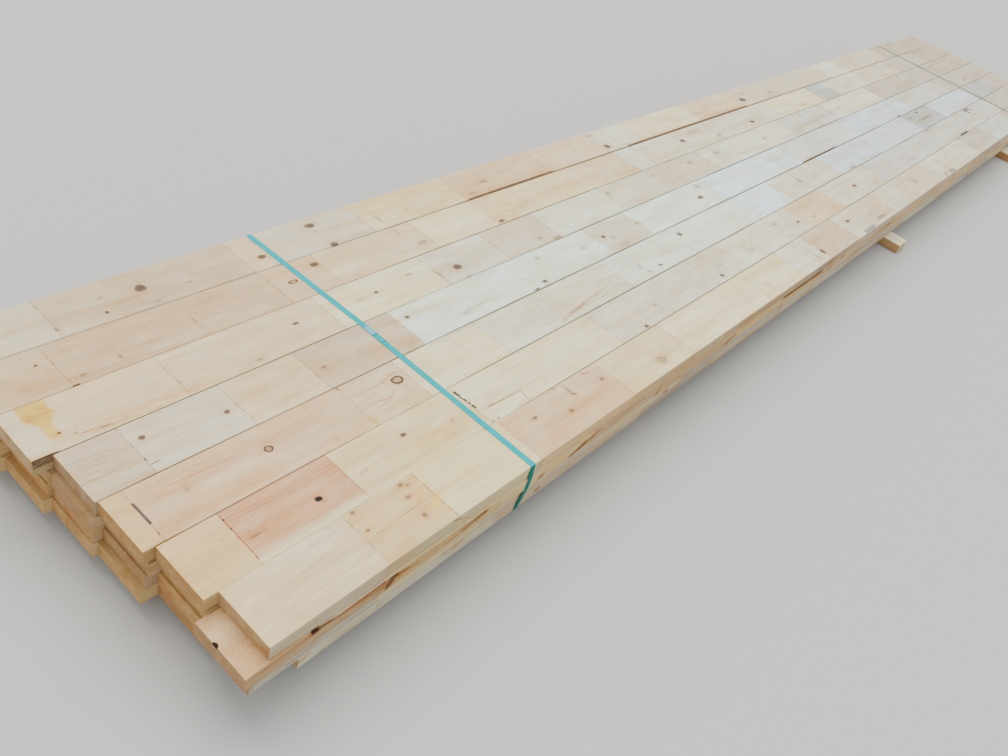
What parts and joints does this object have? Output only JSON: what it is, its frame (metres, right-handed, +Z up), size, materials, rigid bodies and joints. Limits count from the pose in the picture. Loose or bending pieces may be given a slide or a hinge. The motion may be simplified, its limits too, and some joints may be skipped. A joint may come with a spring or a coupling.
{
  "type": "strapped stack of dimension lumber",
  "caption": "Flat stack of long finger-jointed softwood boards held by two plastic straps, lying on timber bearers.",
  "frame": {"origin": "centre of the assembly's footprint, on the floor under the bearers", "axes": "+X along the boards towards the square end, away from the ragged end; +Y across the boards; +Z up"},
  "size_m": [6.275, 1.15, 0.192],
  "materials": {
    "lumber": "planed, unfinished",
    "bearer_lumber": "planed, weathered",
    "strap": "embossed polyester strapping"
  },
  "bodies": {
    "root": {"top_board_1": "lumber", "top_board_2": "lumber", "top_board_3": "lumber", "top_board_4": "lumber", "top_board_5": "lumber", "top_board_6": "lumber", "top_board_7": "lumber", "second_board_1": "lumber", "second_board_2": "lumber", "second_board_3": "lumber", "second_board_4": "lumber", "second_board_5": "lumber", "second_board_6": "lumber", "second_board_7": "lumber", "third_board_1": "lumber", "third_board_2": "lumber", "third_board_3": "lumber", "third_board_4": "lumber", "third_board_5": "lumber", "third_board_6": "lumber", "third_board_7": "lumber", "bottom_board_1": "lumber", "bottom_board_2": "lumber", "bottom_board_3": "lumber", "bottom_board_4": "lumber", "bottom_board_5": "lumber", "bottom_board_6": "lumber", "bottom_board_7": "lumber", "near_bearer": "bearer_lumber", "middle_bearer": "bearer_lumber", "far_bearer": "bearer_lumber", "near_strap": "strap", "far_strap": "strap"}
  },
  "joints": []
}
